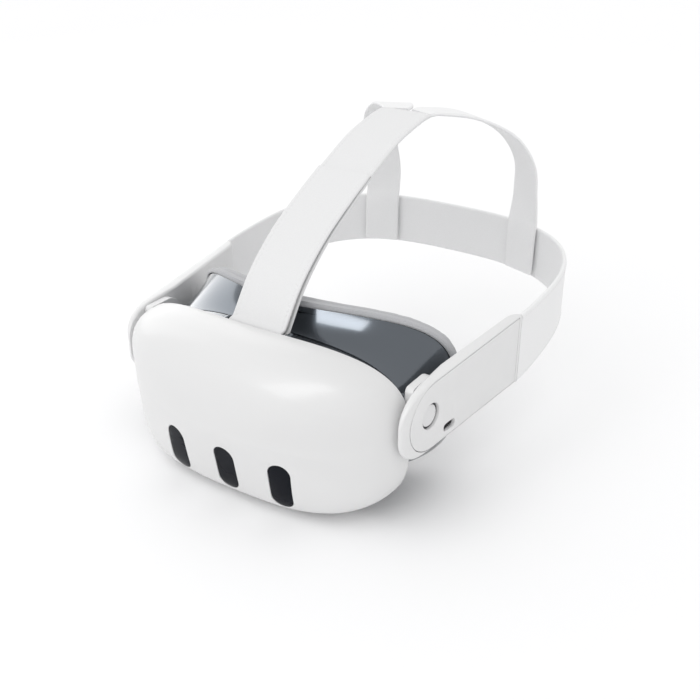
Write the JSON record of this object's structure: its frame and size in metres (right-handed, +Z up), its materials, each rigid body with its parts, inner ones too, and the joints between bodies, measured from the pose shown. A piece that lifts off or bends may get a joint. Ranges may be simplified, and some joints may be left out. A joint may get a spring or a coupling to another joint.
{
  "type": "vr headset",
  "caption": "Standalone virtual reality headset: rounded visor with lenses, displays and cameras, foam face cushion, tilting strap arms, rear band and forked top strap.",
  "frame": {"origin": "middle of the flat rest face under the visor", "axes": "+Z up, -Y the way the visor looks, +Y back along the wearer's head and the longest side, +X the wearer's left"},
  "size_m": [0.221, 0.2734, 0.1829],
  "materials": {
    "visor_shell": "gloss white with a fine clear coat",
    "window_glass": "blue-black polished glass",
    "dark_housing": "satin blue-grey",
    "face_foam": "fabric-covered foam, soft grey",
    "white_plastic": "satin white",
    "strap_fabric": "fine white elastic webbing",
    "black_plastic": "moulded black",
    "metal_frame": "die cast, satin",
    "steel": "turned or pressed steel",
    "circuit_board": "green solder mask",
    "cell_wrap": "shrink wrap over a cell",
    "lens_glass": "coated optical glass",
    "seal_rubber": "matt silicone rubber"
  },
  "bodies": {
    "visor": {"battery_left": "cell_wrap", "battery_right": "cell_wrap", "camera_bracket": "metal_frame", "chassis": "metal_frame", "chassis_screw_1": "steel", "chassis_screw_2": "steel", "chassis_screw_3": "steel", "chassis_screw_4": "steel", "colour_camera": "black_plastic", "depth_projector": "steel", "face_cushion": "face_foam", "fan_housing": "black_plastic", "front_shell": "visor_shell", "heat_sink": "metal_frame", "hinge_mount_left": "white_plastic", "hinge_mount_right": "white_plastic", "interface_frame": "dark_housing", "lens_rail_lower": "steel", "lens_rail_upper": "steel", "main_board": "circuit_board", "nose_flap": "seal_rubber", "pivot_pin_left": "steel", "pivot_pin_right": "steel", "proximity_sensor": "window_glass", "rear_housing": "dark_housing", "sensor_window_centre": "window_glass", "sensor_window_left": "window_glass", "sensor_window_right": "window_glass", "strap_anchor": "steel", "top_strap_front": "strap_fabric", "tracking_camera_left": "black_plastic", "tracking_camera_right": "black_plastic"},
    "head_strap": {"arm_body_left": "white_plastic", "arm_body_right": "white_plastic", "arm_cover_left": "white_plastic", "arm_cover_right": "white_plastic", "pivot_cap_left": "white_plastic", "pivot_cap_right": "white_plastic", "speaker_left": "black_plastic", "speaker_right": "black_plastic", "usb_port": "steel", "audio_jack": "steel", "rear_band": "strap_fabric", "top_strap_crown": "strap_fabric", "strap_leg_left": "strap_fabric", "strap_leg_right": "strap_fabric"},
    "ipd_wheel": {"ipd_wheel": "black_plastic"},
    "lens_unit_left": {"lens_barrel_left": "black_plastic", "lens_left": "lens_glass", "display_left": "window_glass"},
    "lens_unit_right": {"lens_barrel_right": "black_plastic", "lens_right": "lens_glass", "display_right": "window_glass"},
    "fan_rotor": {"fan_rotor": "black_plastic"},
    "power_button": {"power_button": "white_plastic"},
    "volume_rocker": {"volume_rocker": "white_plastic"}
  },
  "joints": [
    {"name": "strap_tilt", "type": "hinge", "parent": "visor", "child": "head_strap", "pos_m": [0, 0.015, 0.0645], "axis": [1, 0, 0], "range_deg": [-5, 20], "deforming": ["top_strap_front"]},
    {"name": "ipd_wheel_turn", "type": "hinge", "parent": "visor", "child": "ipd_wheel", "pos_m": [0, 0.002, 0.019], "axis": [0, 1, 0], "range_deg": [-39.5, 39.5]},
    {"name": "lens_left_slide", "type": "slide", "parent": "visor", "child": "lens_unit_left", "axis": [1, 0, 0], "range_m": [-0.0033, 0.0033]},
    {"name": "lens_right_slide", "type": "slide", "parent": "visor", "child": "lens_unit_right", "axis": [1, 0, 0], "range_m": [-0.0033, 0.0033]},
    {"name": "fan_spin", "type": "hinge", "parent": "visor", "child": "fan_rotor", "pos_m": [0.026, -0.02305, 0.066], "axis": [0, 1, 0], "continuous": true},
    {"name": "power_button_press", "type": "slide", "parent": "visor", "child": "power_button", "axis": [0, 0, 1], "range_m": [0, 0.0008], "stiffness_N_per_m": 2500},
    {"name": "volume_rocker_tilt", "type": "hinge", "parent": "visor", "child": "volume_rocker", "pos_m": [0.046, -0.0155, 0.006], "axis": [0, 1, 0], "range_deg": [-3, 3], "stiffness_Nm_per_rad": 0.3}
  ],
  "couplings": [
    {"joint": "ipd_wheel_turn", "follows": "lens_left_slide", "rad_per_m": -208.33},
    {"joint": "lens_right_slide", "follows": "lens_left_slide", "ratio": -1}
  ]
}
